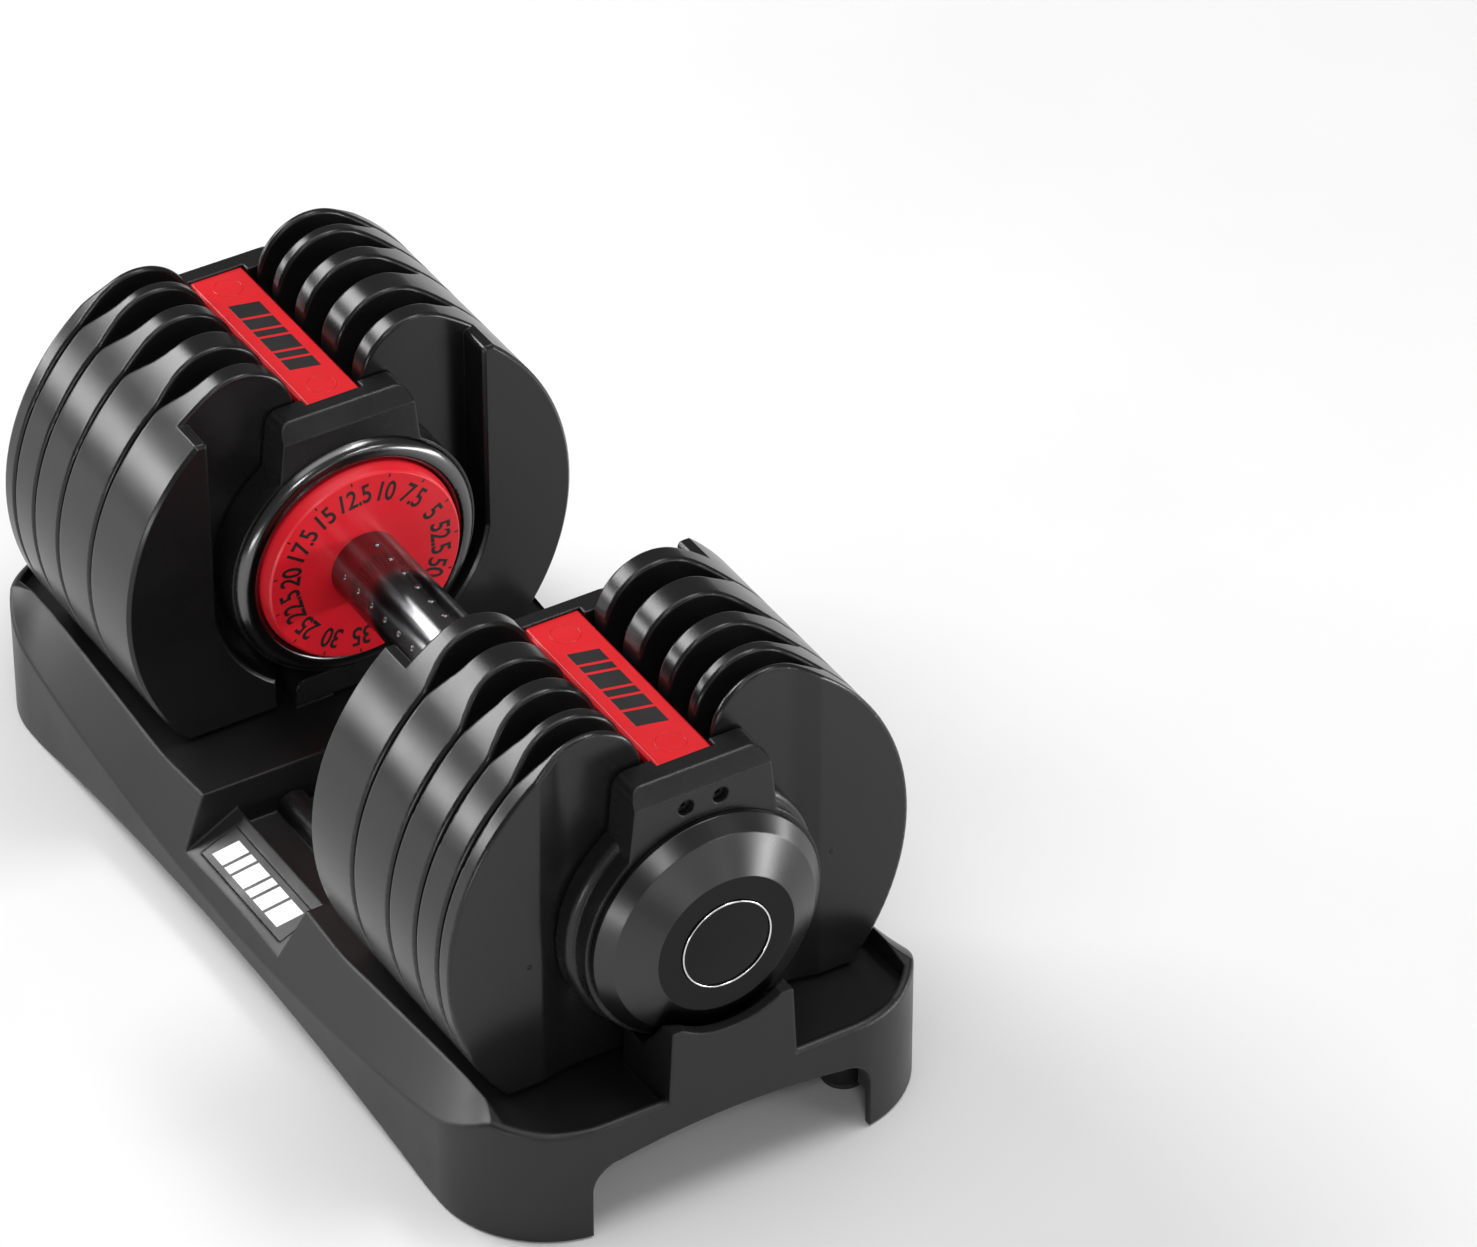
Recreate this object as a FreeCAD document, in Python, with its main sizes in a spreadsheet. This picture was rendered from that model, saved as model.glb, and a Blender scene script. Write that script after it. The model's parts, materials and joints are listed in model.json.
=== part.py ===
import FreeCAD, Part

import math
import os

import Sketcher

from FreeCAD import Placement, Rotation, Vector

# Adjustable dumbbell in its tray, in millimetres.
# X runs along the handle, Z is up, the origin is on the floor under the middle of the handle.
# Both ends are built alike: every piece of an end is drawn at its distance from the middle,
# with its section in Y and Z about the handle's axis, and the left end is turned half round.

DRIVING_SIZES = {
    # handle axis above the floor
    "axis_height": 114.0,
    # weight plates
    "plate_radius": 100.0,
    "plate_bottom": 64.5,
    "plate_ear_fillet": 24.0,
    "plate_slot_half": 15.0,
    "plate_ramp_foot": 53.5,
    "plate_ramp_top": 65.5,
    "plate_last_ramp_foot": 50.0,
    "plate_last_ramp_top": 60.5,
    "ramp_foot_radius": 20.0,
    "ramp_top_radius": 6.0,
    "plate_edge": 1.6,
    "inner_pad_reach": 62.0,
    "inner_pad_side": 61.0,
    "inner_pad_foot_side": 36.0,
    "inner_pad_top": 75.0,
    "inner_pad_corner": 2.2,
    "inner_pad_edge": 1.3,
    "tongue_half": 3.6,
    "tongue_near": 21.0,
    "tongue_far": 26.2,
    "tongue_length": 4.0,
    # selector discs
    "disc_radius": 32.0,
    "disc_web": 3.0,
    "flange_inner": 27.0,
    "flange_outer": 30.6,
    "flange_length": 3.6,
    "flange_half_angle": 11.2,
    "hub_radius": 14.0,
    "tongue_gap": 0.5,
    # turning handle
    "shaft_radius": 8.0,
    "shaft_flats": 13.0,
    "shaft_end": 192.5,
    "bore_clearance": 0.05,
    "grip_radius": 15.5,
    "grip_wall": 2.5,
    "grip_plug": 12.0,
    "dial_front": 62.8,
    "dial_radius": 44.2,
    "dial_face_radius": 42.9,
    "dial_thickness": 9.7,
    "dial_rim": 4.2,
    "settings": 15.0,
    # index ring and lock
    "index_front": 72.6,
    "index_thickness": 5.9,
    "index_inner": 34.0,
    "index_outer": 42.0,
    "index_notch_reach": 40.4,
    "index_notch_half": 3.2,
    "click_groove": 0.9,
    "stop_half_angle": 5.5,
    "stop_angle": 150.0,
    "lock_travel": 6.0,
    "slider_front": 80.9,
    "slider_thickness": 4.1,
    "slider_half": 6.0,
    "slider_bottom": 64.2,
    "slider_top": 30.5,
    "tooth_front": 74.0,
    "tooth_half": 2.5,
    "tooth_tip": 33.4,
    "slider_slot_top": 21.4,
    "spring_wire": 0.5,
    "spring_coil": 1.75,
    "spring_pitch": 2.0,
    # inner housing
    "housing_front": 72.0,
    "housing_back": 88.0,
    "housing_radius": 54.5,
    "cavity_radius": 45.2,
    "cavity_back": 80.0,
    "bush_inner": 14.06,
    "bush_outer": 18.0,
    "foot_half": 28.4,
    "foot_bottom": 65.0,
    "foot_shoulder": 53.4,
    "foot_fillet": 5.5,
    "block_foot_half": 32.5,
    "block_foot": 33.0,
    "block_top_half": 28.5,
    "block_top": 69.0,
    "block_corner": 6.0,
    "block_slope_run": 6.0,
    "block_slope_drop": 6.5,
    "bezel_front": 67.6,
    "bezel_outer": 53.6,
    "bezel_inner": 45.0,
    # bridge bar and cover
    "bridge_half": 12.0,
    "bridge_bottom": 57.0,
    "bridge_end_bottom": 49.6,
    "bridge_top": 64.4,
    "bridge_end_length": 14.0,
    "pocket_depth": 4.0,
    "cover_half": 12.2,
    "cover_top": 68.2,
    "cover_chamfer": 1.2,
    # outer housing and cap
    "outer_back": 178.0,
    "outer_step": 187.0,
    "outer_front": 195.0,
    "outer_radius": 54.0,
    "outer_step_radius": 51.0,
    "outer_fillet": 3.0,
    "outer_bush_end": 186.0,
    "nut_cavity": 16.0,
    "nut_flats": 22.0,
    "nut_thickness": 5.6,
    "screw_side": 7.4,
    "screw_height": 56.0,
    "screw_head": 3.0,
    "screw_shank": 2.0,
    "screw_recess": 3.4,
    "screw_recess_depth": 6.0,
    "cap_back": 195.3,
    "cap_radius": 49.0,
    "cap_bevel_start": 197.4,
    "cap_bevel_end": 203.0,
    "cap_bevel_radius": 43.6,
    "cap_face": 211.2,
    "cap_face_radius": 29.5,
    "cap_wall": 2.6,
    "cap_disc_radius": 19.2,
    "cap_disc_depth": 2.2,
    # tray
    "tray_half_length": 216.0,
    "tray_half_width": 101.0,
    "tray_corner": 47.0,
    "tray_base": 1.0,
    "tray_wall": 3.0,
    "deck_level": 48.0,
    "deck_thickness": 3.5,
    "rib_depth": 11.0,
    "lip_level": 52.5,
    "lip_width": 3.4,
    "lip_rounding": 2.3,
    "rail_inner": 88.0,
    "rail_level": 57.5,
    "rail_slope_start": 184.0,
    "rail_slope_end": 208.0,
    "bay_half": 35.5,
    "bay_flare": 10.5,
    "bay_floor": 30.0,
    "bay_side": 73.0,
    "bay_rib_side": 49.5,
    "bay_rib_half": 6.5,
    "bay_rib_height": 7.5,
    "bay_panel_top": 38.0,
    "bay_panel_drop": 12.5,
    "saddle_inner": 182.0,
    "saddle_outer": 216.0,
    "saddle_top": 84.0,
    "saddle_top_half": 26.2,
    "saddle_foot_half": 28.2,
    "saddle_clearance": 1.2,
    "side_arch_half": 160.0,
    "side_arch_rise": 11.0,
    "end_arch_reach": 200.0,
    "end_arch_half": 61.0,
    "end_arch_side": 34.0,
    "end_arch_rise": 38.0,
    "end_arch_fillet": 12.0,
    "divider_height": 20.0,
    "divider_half": 26.0,
    "divider_gap": 1.2,
    "foot_pad_radius": 9.0,
    "foot_pad_height": 3.0,
    "foot_pad_x": 184.0,
    "foot_pad_y": 69.0,
    "badge_half_length": 32.0,
    "badge_width": 17.0,
    "badge_depth": 1.2,
}

# Each plate from the hand outwards: its two pad faces and its two web faces along the handle.
PLATES = {
    1: {"pad_near": 73.5, "web_near": 89.0, "web_far": 98.5, "pad_far": 105.5},
    2: {"pad_near": 106.5, "web_near": 110.5, "web_far": 123.5, "pad_far": 132.5},
    3: {"pad_near": 133.5, "web_near": 136.0, "web_far": 145.0, "pad_far": 153.0},
    4: {"pad_near": 154.0, "web_near": 157.5, "web_far": 163.5, "pad_far": 169.8},
    5: {"pad_near": 170.8, "web_near": 173.0, "web_far": 176.5, "pad_far": 179.0},
}

# Plates hooked at each of the 15 settings, from 5 lb to 52.5 lb.
HOOKED = [
    (), (5,), (4,), (4, 5), (3,), (3, 5), (1,), (1, 5), (1, 4), (1, 3),
    (1, 2), (1, 2, 4), (1, 2, 3), (1, 2, 3, 4), (1, 2, 3, 4, 5),
]
REST_SETTING = 3

# Hub ends of the four selector discs, and the plates that each one hooks.
DISCS = {
    1: {"hub_near": 89.6, "hub_far": 117.0, "plates": (1, 2)},
    2: {"hub_near": 117.0, "hub_far": 140.5, "plates": (3,)},
    3: {"hub_near": 140.5, "hub_far": 160.5, "plates": (4,)},
    4: {"hub_near": 160.5, "hub_far": 186.0, "plates": (5,)},
}

# Top of the tray's long sides: distance from the middle, inner edge and outer edge above the floor.
RAIL_HEIGHTS = {
    "a": (0.0, 43.5, 19.8), "b": (60.0, 47.6, 22.5), "c": (118.0, 53.2, 30.2), "d": (152.0, 56.0, 36.0),
    "e": (172.0, 57.0, 41.6), "f": (190.0, 57.3, 48.6), "g": (218.0, 57.5, 57.0),
}

SIDES = {"right": 1, "left": -1}

doc = FreeCAD.newDocument("AdjustableDumbbell")
sheet = doc.addObject("Spreadsheet::Sheet", "dims")
subparts = []


def fill_sheet():
    sizes = dict(DRIVING_SIZES)
    for number, faces in PLATES.items():
        for face, value in faces.items():
            sizes["plate_%s_%s" % ("abcde"[number - 1], face)] = value
    for number, disc in DISCS.items():
        for end in ("hub_near", "hub_far"):
            sizes["disc_%s_%s" % ("abcd"[number - 1], end)] = disc[end]
    for letter, (station, inner, outer) in RAIL_HEIGHTS.items():
        sizes["rail_station_%s" % letter] = station
        sizes["rail_inner_height_%s" % letter] = inner
        sizes["rail_outer_height_%s" % letter] = outer
    for row, (alias, value) in enumerate(sizes.items(), start=1):
        sheet.set("A%d" % row, alias.replace("_", " "))
        sheet.set("B%d" % row, repr(value))
        sheet.setAlias("B%d" % row, alias)
    doc.recompute()


def size(alias):
    return float(sheet.get(alias))


def plate_face(number, face):
    return "plate_%s_%s" % ("abcde"[number - 1], face)


def turned(angle, hand):
    """An angle about the handle's axis, mirrored for the left end."""
    return 90.0 + hand * (angle - 90.0)


def polar(radius, angle):
    return Vector(radius * math.cos(math.radians(angle)), radius * math.sin(math.radians(angle)), 0)


# ---------------------------------------------------------------- document helpers


def keep(item, hand=1):
    """Places a sub-part on the handle's axis at its own end and counts it as a piece."""
    item.Placement = Placement(Vector(0, 0, 0), Rotation(Vector(0, 0, 1), 0 if hand > 0 else 180))
    item.setExpression("Placement.Base.z", "dims.axis_height")
    subparts.append(item)
    return item


def new_body(label):
    body = doc.addObject("PartDesign::Body", label)
    body.Label = label
    return body


def sketch_on(body, name, role, offset="0"):
    """A sketch on one of the body's own origin planes, moved along its normal."""
    sketch = body.newObject("Sketcher::SketchObject", name)
    plane = next(item for item in body.Origin.OriginFeatures if item.Role == role)
    sketch.AttachmentSupport = [(plane, "")]
    sketch.MapMode = "FlatFace"
    sketch.setExpression("AttachmentOffset.Base.z", offset)
    return sketch


def cross_sketch(body, name, offset):
    """A sketch across the handle: its x is Y and its y is Z."""
    return sketch_on(body, name, "YZ_Plane", offset)


def side_sketch(body, name):
    """A sketch along the handle: its x is X and its y is the distance from the axis."""
    return sketch_on(body, name, "XZ_Plane")


def add_circle(sketch, radius, center=Vector(0, 0, 0)):
    index = sketch.addGeometry(Part.Circle(center, Vector(0, 0, 1), 1.0), False)
    constraint = sketch.addConstraint(Sketcher.Constraint("Radius", index, 1.0))
    sketch.setExpression("Constraints[%d]" % constraint, radius)


def add_polygon(sketch, points):
    corners = [Vector(*point, 0) for point in points]
    for start, end in zip(corners, corners[1:] + corners[:1]):
        sketch.addGeometry(Part.LineSegment(start, end), False)


def arc(center, radius, start, end):
    """An arc from the start angle to the end angle, both in degrees, counter-clockwise."""
    circle = Part.Circle(Vector(center[0], center[1], 0), Vector(0, 0, 1), radius)
    return Part.ArcOfCircle(circle, math.radians(start), math.radians(end))


def line(start, end):
    return Part.LineSegment(Vector(start[0], start[1], 0), Vector(end[0], end[1], 0))


def rounded_outline(points, radii):
    """Lines and arcs of a polygon whose corners have the given radii."""
    count = len(points)
    corners = []
    for index in range(count):
        corner = Vector(*points[index], 0)
        to_last = (Vector(*points[index - 1], 0) - corner).normalize()
        to_next = (Vector(*points[(index + 1) % count], 0) - corner).normalize()
        radius = radii[index]
        half = math.acos(max(-1.0, min(1.0, to_last.dot(to_next)))) / 2.0
        cut = radius / math.tan(half) if radius else 0.0
        corners.append((corner + to_last * cut, corner + to_next * cut, corner, radius, half))
    geometry = []
    for index in range(count):
        first, last, corner, radius, half = corners[index]
        if radius:
            inward = ((first + last) * 0.5 - corner).normalize()
            middle = corner + inward * (radius / math.sin(half) - radius)
            geometry.append(Part.Arc(first, middle, last))
        following = corners[(index + 1) % count][0]
        if (following - last).Length > 1e-6:
            geometry.append(Part.LineSegment(last, following))
    return geometry


def pad(body, name, sketch, length):
    feature = body.newObject("PartDesign::Pad", name)
    feature.Profile = sketch
    feature.setExpression("Length", length)
    doc.recompute()
    return feature


def pocket(body, name, sketch, length):
    """A pocket towards +X or +Y of its sketch plane. It has to remove material."""
    before = body.Shape.Volume
    feature = body.newObject("PartDesign::Pocket", name)
    feature.Profile = sketch
    feature.Reversed = True
    feature.setExpression("Length", length)
    doc.recompute()
    if body.Shape.Volume > before - 0.01:
        raise RuntimeError("%s removes nothing" % name)
    return feature


def revolve(body, name, sketch):
    feature = body.newObject("PartDesign::Revolution", name)
    feature.Profile = sketch
    feature.ReferenceAxis = (sketch, ["H_Axis"])
    feature.Angle = 360.0
    doc.recompute()
    return feature


def polar_copies(body, name, original, sketch, count):
    pattern = body.newObject("PartDesign::PolarPattern", name)
    pattern.Originals = [original]
    pattern.Axis = (sketch, ["N_Axis"])
    pattern.Angle = 360.0
    pattern.setExpression("Occurrences", count)
    body.Tip = pattern
    doc.recompute()
    return pattern


def edges_across(shape, positions, wanted=lambda edge: True):
    """Names of the edges that lie in one of the planes across the handle."""
    names = []
    for index, edge in enumerate(shape.Edges, start=1):
        box = edge.BoundBox
        flat = box.XLength < 1e-4
        if flat and any(abs(box.XMin - position) < 1e-3 for position in positions) and wanted(edge):
            names.append("Edge%d" % index)
    return names


def soften(body, name, kind, base, edges, amount):
    """A chamfer or a fillet on named edges of the last feature."""
    feature = body.newObject("PartDesign::" + kind, name)
    feature.Base = (base, edges)
    feature.setExpression("Size" if kind == "Chamfer" else "Radius", amount)
    doc.recompute()
    return feature


# ---------------------------------------------------------------- weight plates


def plate_outline():
    """Round plate with a flat foot and an open slot between two rounded ears."""
    radius = size("plate_radius")
    slot = size("plate_slot_half")
    fillet = size("plate_ear_fillet")
    bottom = size("plate_bottom")
    ear_y = slot + fillet
    ear_z = math.sqrt((radius - fillet) ** 2 - ear_y ** 2)
    ear_angle = math.degrees(math.atan2(ear_z, ear_y))
    foot_angle = math.degrees(math.asin(bottom / radius))
    foot_y = radius * math.cos(math.radians(foot_angle))
    return [
        arc((0, 0), slot, 180, 360),
        line((slot, 0), (slot, ear_z)),
        arc((ear_y, ear_z), fillet, ear_angle, 180),
        arc((0, 0), radius, -foot_angle, ear_angle),
        line((foot_y, -bottom), (-foot_y, -bottom)),
        arc((0, 0), radius, 180 - ear_angle, 180 + foot_angle),
        arc((-ear_y, ear_z), fillet, 0, 180 - ear_angle),
        line((-slot, ear_z), (-slot, 0)),
    ]


def inner_lobe(hand):
    """Deep pad beside the dial: straight down, round the bezel, and down to the foot."""
    radius = size("plate_radius")
    side = size("inner_pad_side")
    bottom = size("plate_bottom")
    reach = size("inner_pad_reach")
    foot_side = size("inner_pad_foot_side")
    top = size("inner_pad_top")
    corner = size("inner_pad_corner")
    bend_angle = -math.degrees(math.acos(side / reach))
    low_angle = -math.degrees(math.acos(foot_side / reach))
    top_angle = math.degrees(math.asin(top / radius))
    foot_angle = -math.degrees(math.asin(bottom / radius))
    bend = polar(reach, bend_angle)
    low = polar(reach, low_angle)
    rim_top = polar(radius, top_angle)
    rim_foot = polar(radius, foot_angle)
    bend_start, bend_end = sorted((turned(low_angle, hand), turned(bend_angle, hand)))
    rim_start, rim_end = sorted((turned(foot_angle, hand), turned(top_angle, hand)))
    corner_start, corner_end = sorted((turned(90, hand), turned(180, hand)))
    return [
        line((hand * side, top - corner), (hand * side, bend.y)),
        arc((0, 0), reach, bend_start, bend_end),
        line((hand * foot_side, low.y), (hand * foot_side, -bottom)),
        line((hand * foot_side, -bottom), (hand * rim_foot.x, -bottom)),
        arc((0, 0), radius, rim_start, rim_end),
        line((hand * rim_top.x, top), (hand * (side + corner), top)),
        arc((hand * (side + corner), top - corner), corner, corner_start, corner_end),
    ]


def lower_to_web(body, name, web, face, ramp_foot, ramp_top, foot_radius, top_radius):
    """Lowers one side of a plate to its web between the pads, with a smooth ramp up to each pad."""
    slope = math.atan2(abs(face - web), ramp_top - ramp_foot)
    reach = ramp_top + top_radius * math.tan(slope / 2.0)
    outside = face + math.copysign(1.0, face - web)
    half = [(web, ramp_foot), (face, ramp_top), (face, reach), (outside, reach)]
    radii = [foot_radius, top_radius, 0, 0]
    points = half + [(x, -y) for x, y in reversed(half)]
    sketch = sketch_on(body, name + "Sketch", "XY_Plane")
    sketch.addGeometry(rounded_outline(points, radii + radii[::-1]), False)
    return pocket_both(body, name, sketch)


def rim_edges(shape, wanted=lambda edge: True):
    """Names of the edges where a plate's rim, slot or foot meets one of its two sides."""
    names = []
    for index, edge in enumerate(shape.Edges, start=1):
        slants = []
        for face in shape.ancestorsOfType(edge, Part.Face):
            low_u, high_u, low_v, high_v = face.ParameterRange
            normal = face.normalAt((low_u + high_u) / 2.0, (low_v + high_v) / 2.0)
            slants.append(abs(normal.x))
        if len(slants) == 2 and min(slants) < 1e-3 and max(slants) > 0.3 and wanted(edge):
            names.append("Edge%d" % index)
    return names


def weight_plate(number, side):
    hand = SIDES[side]
    body = new_body("plate_%s_%d" % (side, number))
    web_near, web_far = plate_face(number, "web_near"), plate_face(number, "web_far")
    pad_near, pad_far = plate_face(number, "pad_near"), plate_face(number, "pad_far")
    near = web_near if number == 1 else pad_near

    sketch = cross_sketch(body, "OutlineSketch", "dims.%s" % near)
    sketch.addGeometry(plate_outline(), False)
    pad(body, "Blank", sketch, "dims.%s - dims.%s" % (pad_far, near))
    ramp = [size("plate_ramp_foot"), size("plate_ramp_top"), size("ramp_foot_radius"),
            size("ramp_top_radius")]
    if number > 1:
        lower_to_web(body, "InnerSide", size(web_near), size(pad_near), *ramp)
    if number == 5:
        ramp[:2] = size("plate_last_ramp_foot"), size("plate_last_ramp_top")
    lower_to_web(body, "OuterSide", size(web_far), size(pad_far), *ramp)

    base = "dims.%s - 1" % web_far if number == 1 else "dims.%s - dims.tongue_length" % web_near
    tongue = cross_sketch(body, "TongueSketch", base)
    half, near_edge, far_edge = size("tongue_half"), size("tongue_near"), size("tongue_far")
    add_polygon(tongue, [(-half, -far_edge), (half, -far_edge), (half, -near_edge), (-half, -near_edge)])
    whole = pad(body, "Tongue", tongue, "dims.tongue_length + 1")
    rim = rim_edges(whole.Shape, lambda edge: edge.BoundBox.YLength > 8 or edge.BoundBox.ZLength > 6)
    soften(body, "RimFillet", "Fillet", whole, rim, "dims.plate_edge")

    if number == 1:
        deep = cross_sketch(body, "InnerPadSketch", "dims.%s" % pad_near)
        for lobe_hand in (1, -1):
            deep.addGeometry(inner_lobe(lobe_hand), False)
        raised = pad(body, "InnerPads", deep, "dims.%s - dims.%s + dims.plate_edge" % (web_near, pad_near))
        soften(body, "InnerEdge", "Chamfer", raised,
               edges_across(raised.Shape, (size(pad_near),)), "dims.inner_pad_edge")
    return keep(body, hand)


# ---------------------------------------------------------------- turning handle


def flatted_bore(body, name, offset, length):
    """Bore with two flats that fits over the shaft."""
    radius = size("shaft_radius") + size("bore_clearance")
    half = size("shaft_flats") / 2.0 + size("bore_clearance")
    angle = math.degrees(math.asin(half / radius))
    reach = radius * math.cos(math.radians(angle))
    sketch = cross_sketch(body, name + "Sketch", offset)
    sketch.addGeometry([
        arc((0, 0), radius, -angle, angle),
        line((reach, half), (-reach, half)),
        arc((0, 0), radius, 180 - angle, 180 + angle),
        line((-reach, -half), (reach, -half)),
    ], False)
    return pocket(body, name, sketch, length)


def hooked_runs(number):
    """Runs of neighbouring settings at which a plate is hooked."""
    runs = []
    for setting, plates in enumerate(HOOKED):
        if number not in plates:
            continue
        if runs and runs[-1][1] == setting - 1:
            runs[-1][1] = setting
        else:
            runs.append([setting, setting])
    return runs


def flange_sector(first, last, hand):
    """Ring sector that stands at the bottom between two settings."""
    step = 360.0 / size("settings")
    half = size("flange_half_angle")
    angles = [-90 + step * (first - REST_SETTING) - half, -90 + step * (last - REST_SETTING) + half]
    start, end = sorted(turned(angle, hand) for angle in angles)
    inner, outer = size("flange_inner"), size("flange_outer")
    return [
        arc((0, 0), inner, start, end),
        arc((0, 0), outer, start, end),
        Part.LineSegment(polar(inner, start), polar(outer, start)),
        Part.LineSegment(polar(inner, end), polar(outer, end)),
    ]


def selector_disc(number, side):
    hand = SIDES[side]
    disc = DISCS[number]
    letter = "abcd"[number - 1]
    body = new_body("selector_disc_%s_%d" % (side, number))
    hub_near, hub_far = "disc_%s_hub_near" % letter, "disc_%s_hub_far" % letter
    hub = cross_sketch(body, "HubSketch", "dims.%s" % hub_near)
    add_circle(hub, "dims.hub_radius")
    pad(body, "Hub", hub, "dims.%s - dims.%s" % (hub_far, hub_near))

    if number == 1:
        web_near = "dims.plate_a_web_far + dims.tongue_length + dims.tongue_gap"
        web_length = "dims.disc_web"
    else:
        face = plate_face(disc["plates"][0], "web_near")
        web_near = "dims.%s - dims.tongue_length - dims.tongue_gap - dims.disc_web" % face
        web_length = "dims.disc_web"
    web = cross_sketch(body, "WebSketch", web_near)
    add_circle(web, "dims.disc_radius")
    pad(body, "Web", web, web_length)

    for plate in disc["plates"]:
        start = web_near + (" - dims.flange_length" if plate == 1 else " + dims.disc_web")
        flange = cross_sketch(body, "Flange%dSketch" % plate, start)
        for first, last in hooked_runs(plate):
            flange.addGeometry(flange_sector(first, last, hand), False)
        pad(body, "Flange%d" % plate, flange, "dims.flange_length")
    flatted_bore(body, "Bore", "dims.%s" % hub_near, "dims.%s - dims.%s" % (hub_far, hub_near))
    return keep(body, hand)


def main_shaft():
    body = new_body("main_shaft")
    sketch = cross_sketch(body, "RodSketch", "-dims.shaft_end")
    radius, half = size("shaft_radius"), size("shaft_flats") / 2.0
    angle = math.degrees(math.asin(half / radius))
    reach = radius * math.cos(math.radians(angle))
    sketch.addGeometry([
        arc((0, 0), radius, -angle, angle),
        line((reach, half), (-reach, half)),
        arc((0, 0), radius, 180 - angle, 180 + angle),
        line((-reach, -half), (reach, -half)),
    ], False)
    pad(body, "Rod", sketch, "2 * dims.shaft_end")
    return keep(body)


def grip_tube():
    body = new_body("grip_tube")
    sketch = side_sketch(body, "WallSketch")
    end, plug = size("dial_front") - 0.1, size("grip_plug")
    outer, inner = size("grip_radius"), size("grip_radius") - size("grip_wall")
    bore = size("shaft_radius") + size("bore_clearance")
    add_polygon(sketch, [
        (-end, bore), (-end, outer), (end, outer), (end, bore),
        (end - plug, bore), (end - plug, inner), (plug - end, inner), (plug - end, bore),
    ])
    revolve(body, "Wall", sketch)
    return keep(body)


def dial(side):
    """Drum with a flat face towards the grip, a slightly drawn-in flank and a journal behind."""
    body = new_body("dial_" + side)
    drum = side_sketch(body, "DrumSketch")
    front, back = size("dial_front"), size("dial_front") + size("dial_thickness")
    radius, face = size("dial_radius"), size("dial_face_radius")
    centre = size("shaft_flats") / 2.0 - 0.5
    add_polygon(drum, [
        (front, centre), (front, face - 0.8), (front + 0.8, face),
        (back - size("dial_rim"), radius), (back, radius), (back, centre),
    ])
    revolve(body, "Drum", drum)
    journal = cross_sketch(body, "JournalSketch", "dims.dial_front + dims.dial_thickness")
    add_circle(journal, "dims.hub_radius")
    length = "dims.disc_a_hub_near - dims.dial_front - dims.dial_thickness"
    pad(body, "Journal", journal, length)
    flatted_bore(body, "Bore", "dims.dial_front", "dims.disc_a_hub_near - dims.dial_front")
    return keep(body, SIDES[side])


def index_ring(side):
    hand = SIDES[side]
    body = new_body("index_ring_" + side)
    ring = cross_sketch(body, "RingSketch", "dims.index_front")
    add_circle(ring, "dims.index_outer")
    add_circle(ring, "dims.index_inner")
    pad(body, "Ring", ring, "dims.index_thickness")

    notch = cross_sketch(body, "NotchSketch", "dims.index_front")
    half, reach, inner = size("index_notch_half"), size("index_notch_reach"), size("index_inner")
    add_polygon(notch, [(-half, -reach), (half, -reach), (half, 2 - inner), (-half, 2 - inner)])
    first = pocket(body, "Notch", notch, "dims.index_thickness")
    polar_copies(body, "Notches", first, notch, "dims.settings")

    groove = cross_sketch(body, "GrooveSketch", "dims.index_front")
    depth, outer = size("click_groove"), size("index_outer")
    add_polygon(groove, [(0, outer - depth), (2 * depth, outer + depth), (-2 * depth, outer + depth)])
    click = pocket(body, "Groove", groove, "dims.index_thickness / 2")
    polar_copies(body, "Grooves", click, groove, "dims.settings")

    stop = cross_sketch(body, "StopSketch", "dims.index_front + dims.index_thickness / 2")
    step = 360.0 / size("settings")
    middle = size("stop_angle") - step * REST_SETTING - step / 2.0
    stop.addGeometry(ring_sector(middle, outer - 1.0, size("cavity_radius") - 0.5, hand), False)
    pad(body, "Stop", stop, "dims.index_thickness / 2")
    return keep(body, hand)


def ring_sector(middle, inner, outer, hand):
    """Sector of a ring that serves as one of the two end stops."""
    half = size("stop_half_angle")
    start, end = sorted((turned(middle - half, hand), turned(middle + half, hand)))
    return [
        arc((0, 0), inner, start, end),
        arc((0, 0), outer, start, end),
        Part.LineSegment(polar(inner, start), polar(outer, start)),
        Part.LineSegment(polar(inner, end), polar(outer, end)),
    ]


def shaft_nut(side):
    body = new_body("shaft_nut_" + side)
    sketch = cross_sketch(body, "NutSketch", "dims.outer_bush_end + 0.2")
    reach = size("nut_flats") / 2.0 / math.cos(math.radians(30))
    add_polygon(sketch, [(polar(reach, 60 * k).x, polar(reach, 60 * k).y) for k in range(6)])
    pad(body, "Nut", sketch, "dims.nut_thickness")
    flatted_bore(body, "Bore", "dims.outer_bush_end + 0.2", "dims.nut_thickness")
    return keep(body, SIDES[side])


# ---------------------------------------------------------------- housings


def block_outline():
    """Front outline of the block above the round body."""
    top_half, top = size("block_top_half"), size("block_top")
    foot_half, foot = size("block_foot_half"), size("block_foot")
    corner = size("block_corner")
    points = [(-foot_half, foot), (-top_half, top), (top_half, top), (foot_half, foot)]
    return rounded_outline(points, [0, corner, corner, 0])


def slope_block(body, front, inward):
    """Slope from the block's flat top down to its front face, cut right across."""
    run, drop, top = size("block_slope_run"), size("block_slope_drop"), size("block_top")
    sketch = sketch_on(body, "SlopeSketch", "XZ_Plane", "-dims.block_foot_half")
    outside = -inward
    add_polygon(sketch, [
        (front + inward * run, top + 1.0),
        (front + inward * run, top),
        (front, top - drop),
        (front + outside, top - drop),
        (front + outside, top + 1.0),
    ])
    return pocket_both(body, "Slope", sketch)


def pocket_both(body, name, sketch):
    before = body.Shape.Volume
    feature = body.newObject("PartDesign::Pocket", name)
    feature.Profile = sketch
    feature.Type = "ThroughAll"
    feature.Midplane = True
    doc.recompute()
    if body.Shape.Volume > before - 0.01:
        raise RuntimeError("%s removes nothing" % name)
    return feature


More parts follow.
